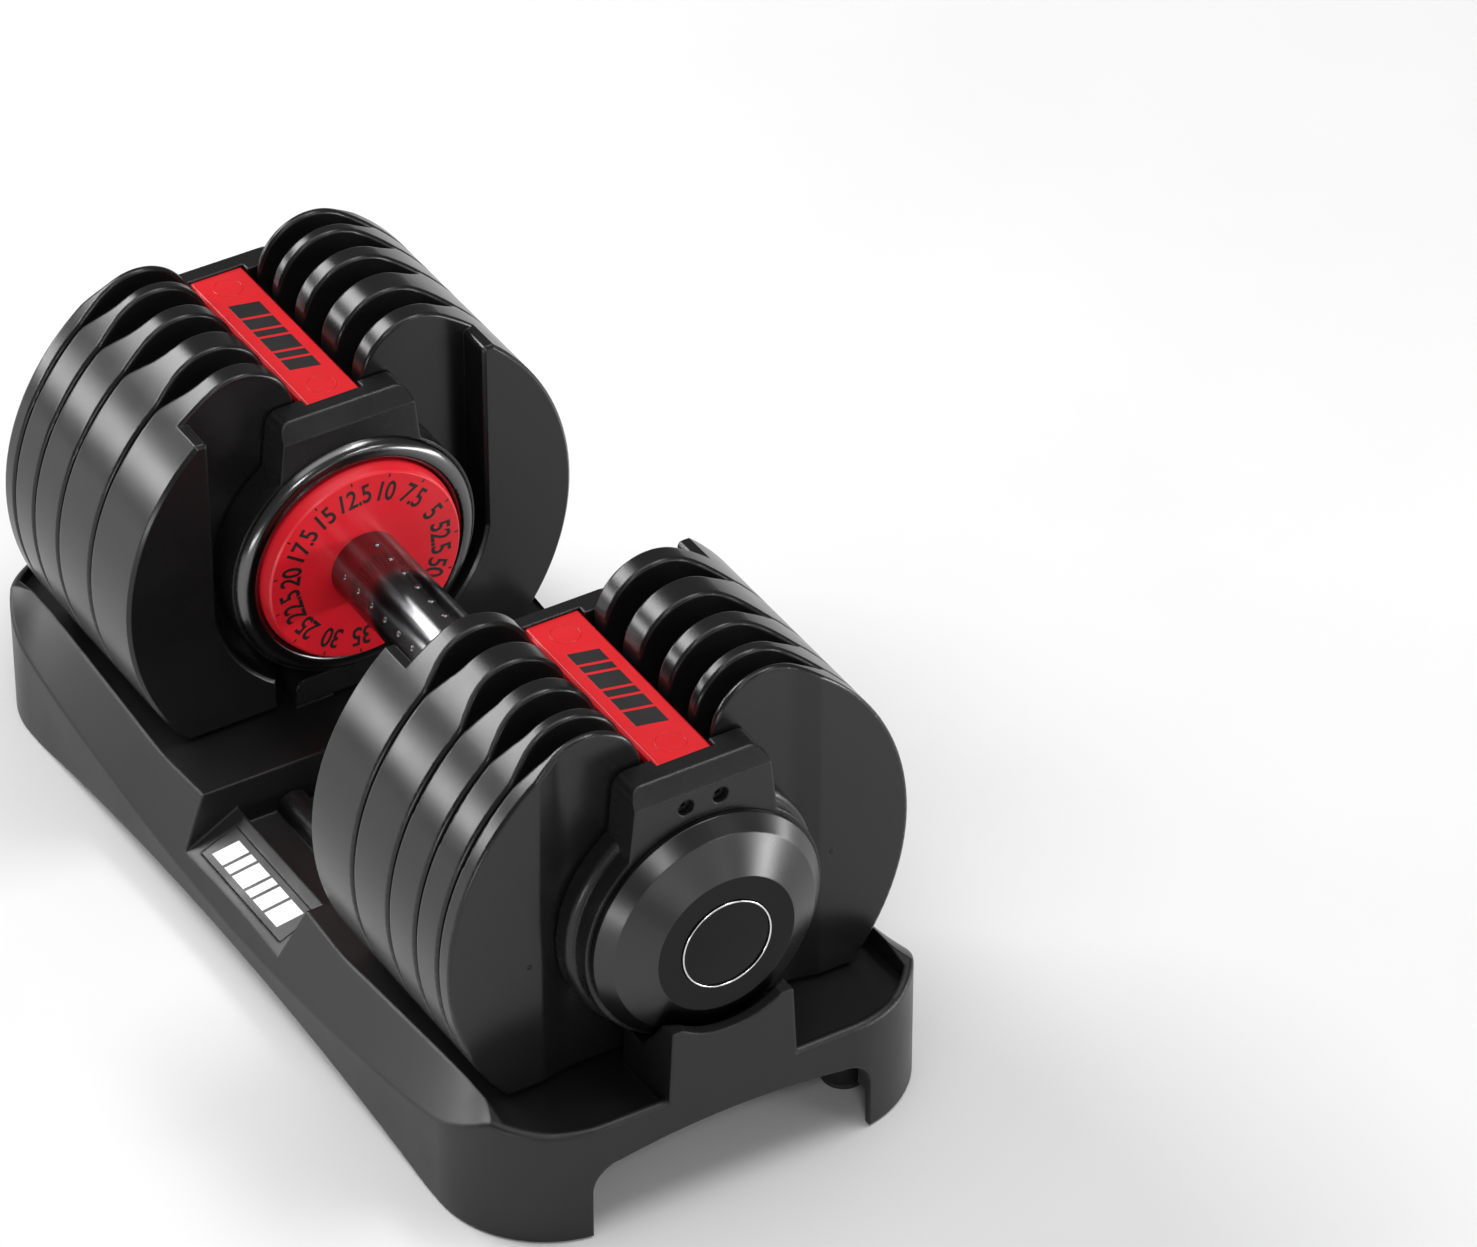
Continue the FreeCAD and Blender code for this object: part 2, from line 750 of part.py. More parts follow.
def cut_round(body, name, radius, offset, length):
    sketch = cross_sketch(body, name + "Sketch", offset)
    add_circle(sketch, radius)
    return pocket(body, name, sketch, length)


def bar_pocket(body, offset):
    """Open-topped pocket that holds one end of the bridge bar and of the cover."""
    sketch = cross_sketch(body, "BarPocketSketch", offset)
    half = size("cover_half") + 0.3
    low, top = size("bridge_end_bottom") - 0.1, size("block_top") + 1.0
    add_polygon(sketch, [(-half, low), (half, low), (half, top), (-half, top)])
    return pocket(body, "BarPocket", sketch, "dims.pocket_depth")


def inner_housing(side):
    hand = SIDES[side]
    body = new_body("inner_housing_" + side)
    depth = "dims.housing_back - dims.housing_front"
    round_body = cross_sketch(body, "RoundSketch", "dims.housing_front")
    add_circle(round_body, "dims.housing_radius")
    pad(body, "Round", round_body, depth)

    block = cross_sketch(body, "BlockSketch", "dims.housing_front")
    block.addGeometry(block_outline(), False)
    pad(body, "Block", block, depth)

    foot = cross_sketch(body, "FootSketch", "dims.housing_front")
    half, bottom, shoulder = size("foot_half"), -size("foot_bottom"), -size("foot_shoulder")
    fillet = size("foot_fillet")
    points = [(-half, bottom), (half, bottom), (half, shoulder), (-half, shoulder)]
    foot.addGeometry(rounded_outline(points, [0, 0, fillet, fillet]), False)
    pad(body, "Foot", foot, depth)

    base = slope_block(body, size("housing_front"), 1)
    cut_round(body, "Cavity", "dims.cavity_radius", "dims.housing_front",
              "dims.cavity_back - dims.housing_front")
    cut_round(body, "BushSeat", "dims.bush_outer", "dims.cavity_back",
              "dims.housing_back - dims.cavity_back")
    bar_pocket(body, "dims.housing_back - dims.pocket_depth")

    slot = cross_sketch(body, "SliderSlotSketch", "dims.cavity_back")
    slot_half, slot_top = size("slider_half") + 0.3, -size("slider_slot_top")
    add_polygon(slot, [(-slot_half, bottom - 1), (slot_half, bottom - 1),
                       (slot_half, slot_top), (-slot_half, slot_top)])
    pocket(body, "SliderSlot", slot, "dims.slider_front + dims.slider_thickness + 0.4 - dims.cavity_back")

    stop = cross_sketch(body, "StopSketch", "dims.index_front + dims.index_thickness / 2 + 0.2")
    stop.addGeometry(ring_sector(size("stop_angle"), size("index_outer") + 0.5,
                                 size("cavity_radius") + 1.0, hand), False)
    pad(body, "Stop", stop, "dims.cavity_back - dims.index_front - dims.index_thickness / 2 - 0.2")
    return keep(body, hand)


def outer_housing(side):
    body = new_body("outer_housing_" + side)
    round_body = cross_sketch(body, "RoundSketch", "dims.outer_back")
    add_circle(round_body, "dims.outer_radius")
    rim = pad(body, "Round", round_body, "dims.outer_step - dims.outer_back")
    soften(body, "RimFillet", "Fillet", rim, edges_across(rim.Shape, (size("outer_step"),)),
           "dims.outer_fillet")
    step = cross_sketch(body, "StepSketch", "dims.outer_back")
    add_circle(step, "dims.outer_step_radius")
    pad(body, "Step", step, "dims.outer_front - dims.outer_back")
    block = cross_sketch(body, "BlockSketch", "dims.outer_back")
    block.addGeometry(block_outline(), False)
    pad(body, "Block", block, "dims.outer_front - dims.outer_back")
    slope_block(body, size("outer_front"), -1)
    cut_round(body, "BushSeat", "dims.bush_outer", "dims.outer_back",
              "dims.outer_bush_end - dims.outer_back")
    cut_round(body, "NutCavity", "dims.nut_cavity", "dims.outer_bush_end",
              "dims.outer_front - dims.outer_bush_end")
    bar_pocket(body, "dims.outer_back")
    for name, radius, offset, length in (
            ("ScrewRecess", "dims.screw_recess", "dims.outer_front - dims.screw_recess_depth",
             "dims.screw_recess_depth"),
            ("ScrewHole", "dims.screw_shank + 0.2", "dims.outer_back",
             "dims.outer_front - dims.outer_back")):
        holes = cross_sketch(body, name + "Sketch", offset)
        for hand in (1, -1):
            add_circle(holes, radius, Vector(hand * size("screw_side"), size("screw_height"), 0))
        pocket(body, name, holes, length)
    return keep(body, SIDES[side])


def bearing_bush(label, side, near, far):
    body = new_body("%s_%s" % (label, side))
    sketch = cross_sketch(body, "BushSketch", near)
    add_circle(sketch, "dims.bush_outer")
    add_circle(sketch, "dims.bush_inner")
    pad(body, "Bush", sketch, "%s - %s" % (far, near))
    return keep(body, SIDES[side])


def bezel_ring(side):
    """Smooth ring that stands round the dial."""
    body = new_body("bezel_ring_" + side)
    sketch = side_sketch(body, "RingSketch")
    front, back = size("bezel_front"), size("housing_front")
    inner, outer = size("bezel_inner"), size("bezel_outer")
    crest = inner + 2.6
    sketch.addGeometry([
        line((back, inner), (front + 1.6, inner)),
        Part.Arc(Vector(front + 1.6, inner, 0), Vector(front + 0.5, inner + 0.8, 0),
                 Vector(front, crest, 0)),
        Part.Arc(Vector(front, crest, 0), Vector(front + 1.2, outer - 2.0, 0),
                 Vector(back, outer, 0)),
        line((back, outer), (back, inner)),
    ], False)
    revolve(body, "Ring", sketch)
    return keep(body, SIDES[side])


def end_cap(side):
    """Satin cap: short rim, bevel, cone and flat face, hollow behind."""
    body = new_body("end_cap_" + side)
    sketch = side_sketch(body, "ProfileSketch")
    wall, back = size("cap_wall"), size("cap_back")
    seat, depth = size("cap_disc_radius") + 0.3, size("cap_disc_depth")
    face, face_radius = size("cap_face"), size("cap_face_radius")
    bevel_end, bevel_radius = size("cap_bevel_end"), size("cap_bevel_radius")
    add_polygon(sketch, [
        (back, size("cap_radius") - wall),
        (back, size("cap_radius")),
        (size("cap_bevel_start"), size("cap_radius")),
        (bevel_end, bevel_radius),
        (face, face_radius),
        (face, seat),
        (face - depth, seat),
        (face - depth, 0),
        (face - depth - wall, 0),
        (face - depth - wall, face_radius - 2 * wall),
        (bevel_end - wall, bevel_radius - wall),
    ])
    revolve(body, "Wall", sketch)
    return keep(body, SIDES[side])


def cap_disc(side):
    """Slightly domed disc with a thin raised rim."""
    body = new_body("cap_disc_" + side)
    sketch = side_sketch(body, "DiscSketch")
    back = size("cap_face") - size("cap_disc_depth") + 0.05
    face, radius = size("cap_face"), size("cap_disc_radius")
    rim = radius - 0.8
    sketch.addGeometry([
        line((back, 0), (back, radius)),
        line((back, radius), (face + 0.5, radius)),
        line((face + 0.5, radius), (face + 0.5, rim)),
        line((face + 0.5, rim), (face, rim)),
        Part.Arc(Vector(face, rim, 0), Vector(face + 0.55, rim / 2, 0), Vector(face + 0.8, 2.0, 0)),
        line((face + 0.8, 2.0), (face + 0.8, 0)),
        line((face + 0.8, 0), (back, 0)),
    ], False)
    revolve(body, "Disc", sketch)
    return keep(body, SIDES[side])


def bridge_bar(side):
    """Steel bar above the plates' slots, deeper at both ends where it meets the housings."""
    body = new_body("bridge_bar_" + side)
    near = size("housing_back") - size("pocket_depth") + 0.1
    far = size("outer_back") + size("pocket_depth") - 0.1
    low, end_low, top = size("bridge_bottom"), size("bridge_end_bottom"), size("bridge_top")
    thick = size("bridge_end_length")
    sketch = sketch_on(body, "BarSketch", "XZ_Plane", "-dims.bridge_half")
    add_polygon(sketch, [
        (near, end_low), (near + 8, end_low), (near + 12, low),
        (far - thick - 4, low), (far - thick, end_low), (far, end_low),
        (far, top), (near, top),
    ])
    pad(body, "Bar", sketch, "2 * dims.bridge_half")
    holes = cross_sketch(body, "HoleSketch", "dims.outer_back - 12")
    for hand in (1, -1):
        add_circle(holes, "dims.screw_shank + 0.05",
                   Vector(hand * size("screw_side"), size("screw_height"), 0))
    pocket(body, "Holes", holes, "dims.pocket_depth + 12")
    return keep(body, SIDES[side])


def top_cover(side):
    """Flat cover strip with bevelled long edges."""
    body = new_body("top_cover_" + side)
    sketch = cross_sketch(body, "StripSketch", "dims.housing_back - dims.pocket_depth + 0.3")
    half, top, bevel = size("cover_half"), size("cover_top"), size("cover_chamfer")
    low = size("bridge_top") + 0.1
    add_polygon(sketch, [
        (-half, low), (half, low), (half, top - bevel), (half - bevel, top),
        (bevel - half, top), (-half, top - bevel),
    ])
    length = "dims.outer_back - dims.housing_back + 2 * dims.pocket_depth - 0.6"
    pad(body, "Strip", sketch, length)
    return keep(body, SIDES[side])


def detent_spring(side):
    """Thin bent strip over the index ring, with the click nose at its middle."""
    body = new_body("detent_spring_" + side)
    sketch = cross_sketch(body, "StripSketch", "dims.index_front + 0.2")
    outer = size("cavity_radius")
    inner = outer - 0.7
    nose = size("index_outer") + 0.35
    nose_angle = 3.0
    sketch.addGeometry([
        arc((0, 0), outer, 62, 118),
        Part.LineSegment(polar(outer, 118), polar(inner, 118)),
        arc((0, 0), inner, 90 + nose_angle, 118),
        Part.LineSegment(polar(inner, 90 + nose_angle), polar(nose, 90.6)),
        Part.LineSegment(polar(nose, 90.6), polar(nose, 89.4)),
        Part.LineSegment(polar(nose, 89.4), polar(inner, 90 - nose_angle)),
        arc((0, 0), inner, 62, 90 - nose_angle),
        Part.LineSegment(polar(inner, 62), polar(outer, 62)),
    ], False)
    pad(body, "Strip", sketch, "dims.index_thickness / 2 - 0.5")
    return keep(body, SIDES[side])


# ---------------------------------------------------------------- lock


def lock_slider(side):
    body = new_body("lock_slider_" + side)
    plate = cross_sketch(body, "PlateSketch", "dims.slider_front")
    half, bottom, top = size("slider_half"), -size("slider_bottom"), -size("slider_top")
    add_polygon(plate, [(-half, bottom), (half, bottom), (half, top), (-half, top)])
    pad(body, "Plate", plate, "dims.slider_thickness")
    tooth = cross_sketch(body, "ToothSketch", "dims.tooth_front")
    tip, tooth_half = -size("tooth_tip"), size("tooth_half")
    add_polygon(tooth, [(-tooth_half, tip), (tooth_half, tip), (tooth_half, top), (-tooth_half, top)])
    pad(body, "Tooth", tooth, "dims.slider_front - dims.tooth_front")
    return keep(body, SIDES[side])


def lock_spring(side):
    """Coil spring between the slider's top edge and the bush above it."""
    hand = SIDES[side]
    middle = size("slider_front") + size("slider_thickness") / 2.0
    wire = size("spring_wire")
    low = -size("slider_top") + wire + 0.05
    helix = doc.addObject("Part::Helix", "SpringPath_" + side)
    helix.setExpression("Pitch", "dims.spring_pitch")
    helix.setExpression("Radius", "dims.spring_coil")
    helix.setExpression("Height", "4 * dims.spring_pitch")
    section = doc.addObject("Part::Circle", "SpringWire_" + side)
    section.setExpression("Radius", "dims.spring_wire")
    section.Placement = Placement(Vector(size("spring_coil"), 0, 0), Rotation(Vector(1, 0, 0), 90))
    coil = doc.addObject("Part::Sweep", "lock_spring_" + side)
    coil.Label = "lock_spring_" + side
    coil.Sections = [section]
    coil.Spine = (helix, ["Edge1"])
    coil.Solid = True
    coil.Frenet = True
    turn = Rotation(Vector(0, 0, 1), 0 if hand > 0 else 180)
    coil.Placement = Placement(Vector(hand * middle, 0, low), turn)
    coil.setExpression("Placement.Base.z", "dims.axis_height - dims.slider_top + dims.spring_wire + 0.05")
    subparts.append(coil)
    return coil


# ---------------------------------------------------------------- screws and tray feet


def housing_screws():
    """Four cap screws with hexagon sockets, two in each outer housing."""
    screws = []
    for side, hand in SIDES.items():
        for row in (1, -1):
            name = "%s_%s" % (side, "a" if row > 0 else "b")
            head = doc.addObject("Part::Cylinder", "Head_" + name)
            head.setExpression("Radius", "dims.screw_head")
            head.setExpression("Height", "dims.screw_recess_depth / 2")
            shank = doc.addObject("Part::Cylinder", "Shank_" + name)
            shank.setExpression("Radius", "dims.screw_shank")
            shank.Height = 20
            socket = doc.addObject("Part::Prism", "Socket_" + name)
            socket.Polygon = 6
            socket.Circumradius = 1.5
            socket.Height = 5
            seat = size("outer_front") - size("screw_recess_depth") + 0.05
            along = Rotation(Vector(0, 1, 0), 90 * hand)
            y, z = row * size("screw_side"), size("axis_height") + size("screw_height")
            head.Placement = Placement(Vector(hand * seat, y, z), along)
            shank.Placement = Placement(Vector(hand * (seat - 20), y, z), along)
            socket.Placement = Placement(Vector(hand * (seat + 1.2), y, z), along)
            joined = doc.addObject("Part::Fuse", "Blank_" + name)
            joined.Base, joined.Tool = head, shank
            cut = doc.addObject("Part::Cut", "Screw_" + name)
            cut.Base, cut.Tool = joined, socket
            screws.append(cut)
    group = doc.addObject("Part::Compound", "housing_screws")
    group.Label = "housing_screws"
    group.Links = screws
    subparts.append(group)
    return group


def tray_feet():
    feet = []
    for index, (x_sign, y_sign) in enumerate(((1, 1), (1, -1), (-1, 1), (-1, -1))):
        foot = doc.addObject("Part::Cylinder", "Foot_%s" % "abcd"[index])
        foot.setExpression("Radius", "dims.foot_pad_radius")
        foot.setExpression("Height", "dims.foot_pad_height")
        foot.setExpression("Placement.Base.x", "%d * dims.foot_pad_x" % x_sign)
        foot.setExpression("Placement.Base.y", "%d * dims.foot_pad_y" % y_sign)
        feet.append(foot)
    group = doc.addObject("Part::Compound", "tray_feet")
    group.Label = "tray_feet"
    group.Links = feet
    subparts.append(group)
    return group


# ---------------------------------------------------------------- tray


def box(x_low, x_high, y_low, y_high, z_low, z_high):
    corner = Vector(x_low, y_low, z_low)
    return Part.makeBox(x_high - x_low, y_high - y_low, z_high - z_low, corner)


def rounded_slab(half_length, half_width, corner, low, high):
    points = [(-half_length, -half_width), (half_length, -half_width),
              (half_length, half_width), (-half_length, half_width)]
    edges = [piece.toShape() for piece in rounded_outline(points, [corner] * 4)]
    face = Part.Face(Part.Wire(Part.__sortEdges__(edges)))
    face.translate(Vector(0, 0, low))
    return face.extrude(Vector(0, 0, high - low))


def along_x(points, x_low, x_high):
    """Prism along X of a polygon in Y and Z."""
    corners = [Vector(x_low, y, z) for y, z in points]
    return Part.Face(Part.makePolygon(corners + corners[:1])).extrude(Vector(x_high - x_low, 0, 0))


def along_y(points, y_low, y_high):
    """Prism along Y of a polygon in X and Z."""
    corners = [Vector(x, y_low, z) for x, z in points]
    return Part.Face(Part.makePolygon(corners + corners[:1])).extrude(Vector(0, y_high - y_low, 0))


def rail_trim(hand):
    """What is cut from above a long side: a sloped surface that dips towards the middle."""
    inner_y, outer_y = size("rail_inner"), size("tray_half_width")
    step = outer_y - inner_y
    inner_points, outer_points = [], []
    letters = sorted(RAIL_HEIGHTS)
    for letter, sign in [(item, -1) for item in reversed(letters[1:])] + [(item, 1) for item in letters]:
        x = sign * size("rail_station_" + letter)
        inner, outer = size("rail_inner_height_" + letter), size("rail_outer_height_" + letter)
        inner_points.append(Vector(x, hand * (inner_y - step), 2 * inner - outer))
        outer_points.append(Vector(x, hand * (outer_y + step), 2 * outer - inner))
    edges = []
    for points in (inner_points, outer_points):
        curve = Part.BSplineCurve()
        curve.interpolate(points)
        edges.append(curve.toShape())
    return Part.makeRuledSurface(*edges).extrude(Vector(0, 0, 120))


def bay_cut():
    """Hand bay between the plates, with a sloped name panel on each long side."""
    low, high = size("tray_base") + 15.0, size("rail_level") + 10.0
    half, flare = size("bay_half"), size("bay_flare")
    wedge = along_y([(-half, low), (half, low), (half + flare, high), (-half - flare, high)], -120, 120)
    side, top, drop = size("bay_side"), size("bay_panel_top"), size("bay_panel_drop")
    floor = size("bay_floor")
    edge = size("tray_half_width")
    slope = drop / (edge - side)
    far = edge + 9.0
    far_z = top - slope * (far - side)
    section = [(-far, high), (-far, far_z), (-side, top), (-side, floor),
               (side, floor), (side, top), (far, far_z), (far, high)]
    return wedge.common(along_x(section, -100, 100))


def bay_ribs():
    """Two rounded ribs along the floor of the hand bay."""
    floor, side = size("bay_floor"), size("bay_rib_side")
    half, height, reach = size("bay_rib_half"), size("bay_rib_height"), size("bay_half") + 3.0
    ribs = []
    for hand in (1, -1):
        low_left = Vector(-reach, hand * side - half, floor - 1)
        low_right = Vector(-reach, hand * side + half, floor - 1)
        crest = Vector(-reach, hand * side, floor + height)
        edges = [Part.Arc(low_left, crest, low_right).toShape(),
                 Part.LineSegment(low_right, low_left).toShape()]
        ribs.append(Part.Face(Part.Wire(edges)).extrude(Vector(2 * reach, 0, 0)))
    return ribs


def saddle(hand):
    """Raised cradle for an end cap, narrower at its top."""
    inner, outer = sorted((hand * size("saddle_inner"), hand * size("saddle_outer")))
    foot, top = size("saddle_foot_half"), size("saddle_top_half")
    low, high = size("deck_level") - 1.0, size("saddle_top")
    return along_x([(-foot, low), (foot, low), (top, high), (-top, high)], inner, outer)


def cap_room(hand):
    """Space of the outer housing and end cap, with clearance, as a solid of revolution."""
    gap = size("saddle_clearance")
    profile = [
        (150.0, 0.0),
        (150.0, size("outer_radius") + gap),
        (size("outer_front"), size("outer_radius") + gap),
        (size("cap_bevel_end"), size("cap_bevel_radius") + 2.5 * gap),
        (size("cap_face"), size("cap_face_radius") + 6.0 * gap),
        (size("saddle_outer") + 5.0, size("cap_face_radius") + 6.0 * gap),
        (size("saddle_outer") + 5.0, 0.0),
    ]
    corners = [Vector(hand * x, 0, radius) for x, radius in profile]
    face = Part.Face(Part.makePolygon(corners + corners[:1]))
    room = face.revolve(Vector(0, 0, 0), Vector(1, 0, 0), 360)
    room.translate(Vector(0, 0, size("axis_height")))
    return room


def end_arch(hand):
    """Opening under one end: straight sides, rounded corners, slightly raised top."""
    base, half = -1.0, size("end_arch_half")
    side, rise, fillet = size("end_arch_side"), size("end_arch_rise"), size("end_arch_fillet")
    inner = half - fillet
    start, peak = (-half, side - fillet), (0, rise)
    pieces = [
        Part.LineSegment(Vector(0, -half, base), Vector(0, *start)),
        Part.Arc(Vector(0, *start), Vector(0, -half + fillet * 0.293, side - fillet * 0.293),
                 Vector(0, -inner, side)),
        Part.Arc(Vector(0, -inner, side), Vector(0, *peak), Vector(0, inner, side)),
        Part.Arc(Vector(0, inner, side), Vector(0, half - fillet * 0.293, side - fillet * 0.293),
                 Vector(0, half, side - fillet)),
        Part.LineSegment(Vector(0, half, side - fillet), Vector(0, half, base)),
        Part.LineSegment(Vector(0, half, base), Vector(0, -half, base)),
    ]
    face = Part.Face(Part.Wire([piece.toShape() for piece in pieces]))
    start = hand * (size("tray_half_length") + 5)
    face.translate(Vector(start, 0, 0))
    return face.extrude(Vector(hand * size("end_arch_reach") - start, 0, 0))


def side_arch():
    """Shallow arch under both long sides."""
    half, base = size("side_arch_half"), size("tray_base")
    left, right = Vector(-half, 0, base), Vector(half, 0, base)
    top = Vector(0, 0, base + size("side_arch_rise"))
    low_left, low_right = Vector(-half, 0, -2), Vector(half, 0, -2)
    edges = [
        Part.Arc(left, top, right).toShape(),
        Part.LineSegment(right, low_right).toShape(),
        Part.LineSegment(low_right, low_left).toShape(),
        Part.LineSegment(low_left, left).toShape(),
    ]
    face = Part.Face(Part.Wire(edges))
    face.translate(Vector(0, -size("tray_half_width") - 5, 0))
    return face.extrude(Vector(0, 2 * size("tray_half_width") + 10, 0))


def tray_hollow():
    """Space under the deck: wide at the foot of the skirt, narrower between the rails."""
    wall, base = size("tray_wall"), size("tray_base")
    length, width, corner = size("tray_half_length"), size("tray_half_width"), size("tray_corner")
    ceiling = size("deck_level") - size("deck_thickness")
    skirt_top = size("rail_outer_height_a") - wall - 0.5
    lower = rounded_slab(length - wall, width - wall, corner - wall, base - 2, skirt_top)
    upper = rounded_slab(length - 2 * wall, size("rail_inner") - 4, corner - 3 * wall,
                         base - 2, ceiling)
    bay = size("bay_half") + size("bay_flare") + 2
    kept = box(-bay, bay, -width, width, size("bay_floor") - wall, ceiling + 1)
    hollow = lower.fuse(upper).cut(kept)
    for hand in (1, -1):
        inner, outer = sorted((hand * (size("saddle_inner") + wall), hand * (size("saddle_outer") - wall)))
        half = size("saddle_foot_half") - 2 * wall
        top = size("axis_height") - size("outer_radius") - size("saddle_clearance") - wall
        hollow = hollow.fuse(box(inner, outer, -half, half, ceiling - 1, top))
    return hollow


def tray_ribs():
    """Stiffening ribs under the deck and the bosses of the rubber feet."""
    ceiling, low = size("deck_level") - 1.0, size("deck_level") - size("rib_depth")
    width = size("rail_inner") - 3.0
    ribs = []
    for x in (-150.0, -100.0, -50.0, 50.0, 100.0, 150.0):
        ribs.append(box(x - 1.25, x + 1.25, -width, width, low, ceiling))
    for y in (-45.0, 45.0):
        for start, end in ((-200.0, -47.0), (47.0, 200.0)):
            ribs.append(box(start, end, y - 1.25, y + 1.25, low, ceiling))
    for x_sign in (1, -1):
        for y_sign in (1, -1):
            place = Vector(x_sign * size("foot_pad_x"), y_sign * size("foot_pad_y"),
                           size("foot_pad_height"))
            ribs.append(Part.makeCylinder(size("foot_pad_radius") + 1, ceiling - place.z, place))
    return ribs


def tray_furniture():
    """What stands on the deck: plate dividers, foot rests and the pads that lift the locks."""
    deck = size("deck_level")
    height, half, gap = size("divider_height"), size("divider_half"), size("divider_gap")
    pieces = []
    for hand in (1, -1):
        for number in (1, 2, 3, 4):
            near = size(plate_face(number, "web_far")) + gap
            far = size(plate_face(number + 1, "web_near")) - gap
            middle, thick = (near + far) / 2.0, (far - near) / 2.0
            profile = [
                (hand * (middle - thick), deck - 1), (hand * (middle + thick), deck - 1),
                (hand * (middle + thick), deck + height - 4), (hand * (middle + 1.5), deck + height),
                (hand * (middle - 1.5), deck + height), (hand * (middle - thick), deck + height - 4),
            ]
            pieces.append(along_y(profile, -half, half))
        front, back = size("housing_front"), size("housing_back")
        rest_top = size("axis_height") - size("foot_bottom") - 0.3
        for y_sign in (1, -1):
            y_low, y_high = sorted((y_sign * 12.0, y_sign * size("foot_half")))
            x_low, x_high = sorted((hand * front, hand * back))
            pieces.append(box(x_low, x_high, y_low, y_high, deck - 1, rest_top))
        pusher_top = size("axis_height") - size("slider_bottom") - 0.3
        x_low, x_high = sorted((hand * size("slider_front"),
                                hand * (size("slider_front") + size("slider_thickness"))))
        pusher = size("slider_half") - 0.5
        pieces.append(box(x_low, x_high, -pusher, pusher, deck - 1, pusher_top))
    return pieces


def badge_frame(hand):
    """Placement of a name plate: its own X along the tray, its Y down the sloped panel."""
    side, top = size("bay_side"), size("bay_panel_top")
    edge, drop = size("tray_half_width"), size("bay_panel_drop")
    tilt = math.degrees(math.atan2(drop, edge - side))
    reach = (edge - side - 2.0) / 2.0
    middle = Vector(0, hand * (side + reach), top - drop * reach / (edge - side))
    turn = Rotation(Vector(1, 0, 0), -hand * tilt)
    return Placement(middle, turn)


def badge_room(hand, clearance):
    half, width, depth = size("badge_half_length"), size("badge_width"), size("badge_depth")
    room = box(-half - clearance, half + clearance, -width / 2 - clearance, width / 2 + clearance,
               -depth, 3.0 if clearance else 0.0)
    room.Placement = badge_frame(hand).multiply(room.Placement)
    return room


def on_outline(edge):
    """Whether an edge runs along the tray's rounded outline and is not upright."""
    length, width, corner = size("tray_half_length"), size("tray_half_width"), size("tray_corner")
    first, last = edge.FirstParameter, edge.LastParameter
    for step in range(5):
        point = edge.valueAt(first + (last - first) * step / 4.0)
        along, across = abs(point.x) - (length - corner), abs(point.y) - (width - corner)
        if abs(math.hypot(max(along, 0.0), max(across, 0.0)) - corner) > 0.05:
            return False
    return edge.BoundBox.XLength + edge.BoundBox.YLength > 1.0


def tray_shell():
    """Moulded tray: skirt with four legs, deck, long rails, hand bay and end saddles."""
    length, width, corner = size("tray_half_length"), size("tray_half_width"), size("tray_corner")
    base, deck, lip = size("tray_base"), size("deck_level"), size("lip_level")
    level, wall = size("rail_level"), size("lip_width")
    start, end = size("rail_slope_start"), size("rail_slope_end")
    tray = rounded_slab(length, width, corner, base, level)
    for hand in (1, -1):
        tray = tray.cut(rail_trim(hand))
        slope = [(hand * start, level), (hand * end, lip), (hand * (length + 5), lip),
                 (hand * (length + 5), level + 5), (hand * start, level + 5)]
        tray = tray.cut(along_y(slope, -width - 5, width + 5))
    rim = [edge for edge in tray.Edges if edge.BoundBox.ZMin > deck - 35.0 and on_outline(edge)]
    tray = tray.makeFillet(size("lip_rounding"), rim)
    inside = rounded_slab(length - wall, width - wall, corner - wall, deck, level + 5)
    inner = size("rail_inner")
    tray = tray.cut(inside.common(box(-length, length, -inner, inner, deck - 1, level + 6)))
    tray = tray.fuse([saddle(1), saddle(-1)] + tray_furniture())
    tray = tray.cut(bay_cut()).fuse(bay_ribs())
    tray = tray.cut(tray_hollow()).fuse(tray_ribs())
    tray = tray.cut([cap_room(1), cap_room(-1), end_arch(1), end_arch(-1), side_arch()])
    tray = tray.cut([badge_room(1, 0.2), badge_room(-1, 0.2)])
    tray = tray.removeSplitter()
    item = doc.addObject("Part::Feature", "tray_shell")
    item.Label = "tray_shell"
    item.Shape = tray
    subparts.append(item)
    return item


def badge_plate(label, hand):
    item = doc.addObject("Part::Feature", label)
    item.Label = label
    item.Shape = badge_room(hand, 0.0)
    subparts.append(item)
    return item


# ---------------------------------------------------------------- whole object


def build_end(side):
    for number in PLATES:
        weight_plate(number, side)
    for number in DISCS:
        selector_disc(number, side)
    dial(side)
    index_ring(side)
    shaft_nut(side)
    inner_housing(side)
    bezel_ring(side)
    bearing_bush("inner_bush", side, "(dims.cavity_back + 0.4)", "dims.housing_back")
    detent_spring(side)
    bridge_bar(side)
    top_cover(side)
    outer_housing(side)
    bearing_bush("outer_bush", side, "dims.outer_back", "(dims.outer_bush_end - 0.1)")
    end_cap(side)
    cap_disc(side)
    lock_slider(side)
    lock_spring(side)


def check_and_write():
    doc.recompute()
    for item in doc.Objects:
        if "Invalid" in item.State or "Error" in item.State:
            raise RuntimeError("%s failed: %s" % (item.Label, item.State))
    os.makedirs("parts", exist_ok=True)
    for item in subparts:
        shape = item.Shape
        if shape.isNull() or not shape.isValid():
            raise RuntimeError("%s has no valid shape" % item.Label)
        shape.exportStep(os.path.join("parts", item.Label + ".step"))
        print("%-24s %2d solids %10.0f mm3" % (item.Label, len(shape.Solids), shape.Volume))


fill_sheet()
for end_side in SIDES:
    build_end(end_side)
grip_tube()
main_shaft()
housing_screws()
tray_shell()
tray_feet()
badge_plate("badge_plate_front", -1)
badge_plate("badge_plate_back", 1)
check_and_write()
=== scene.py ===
import json
import math

import bmesh
import bpy
from mathutils import Matrix, Vector


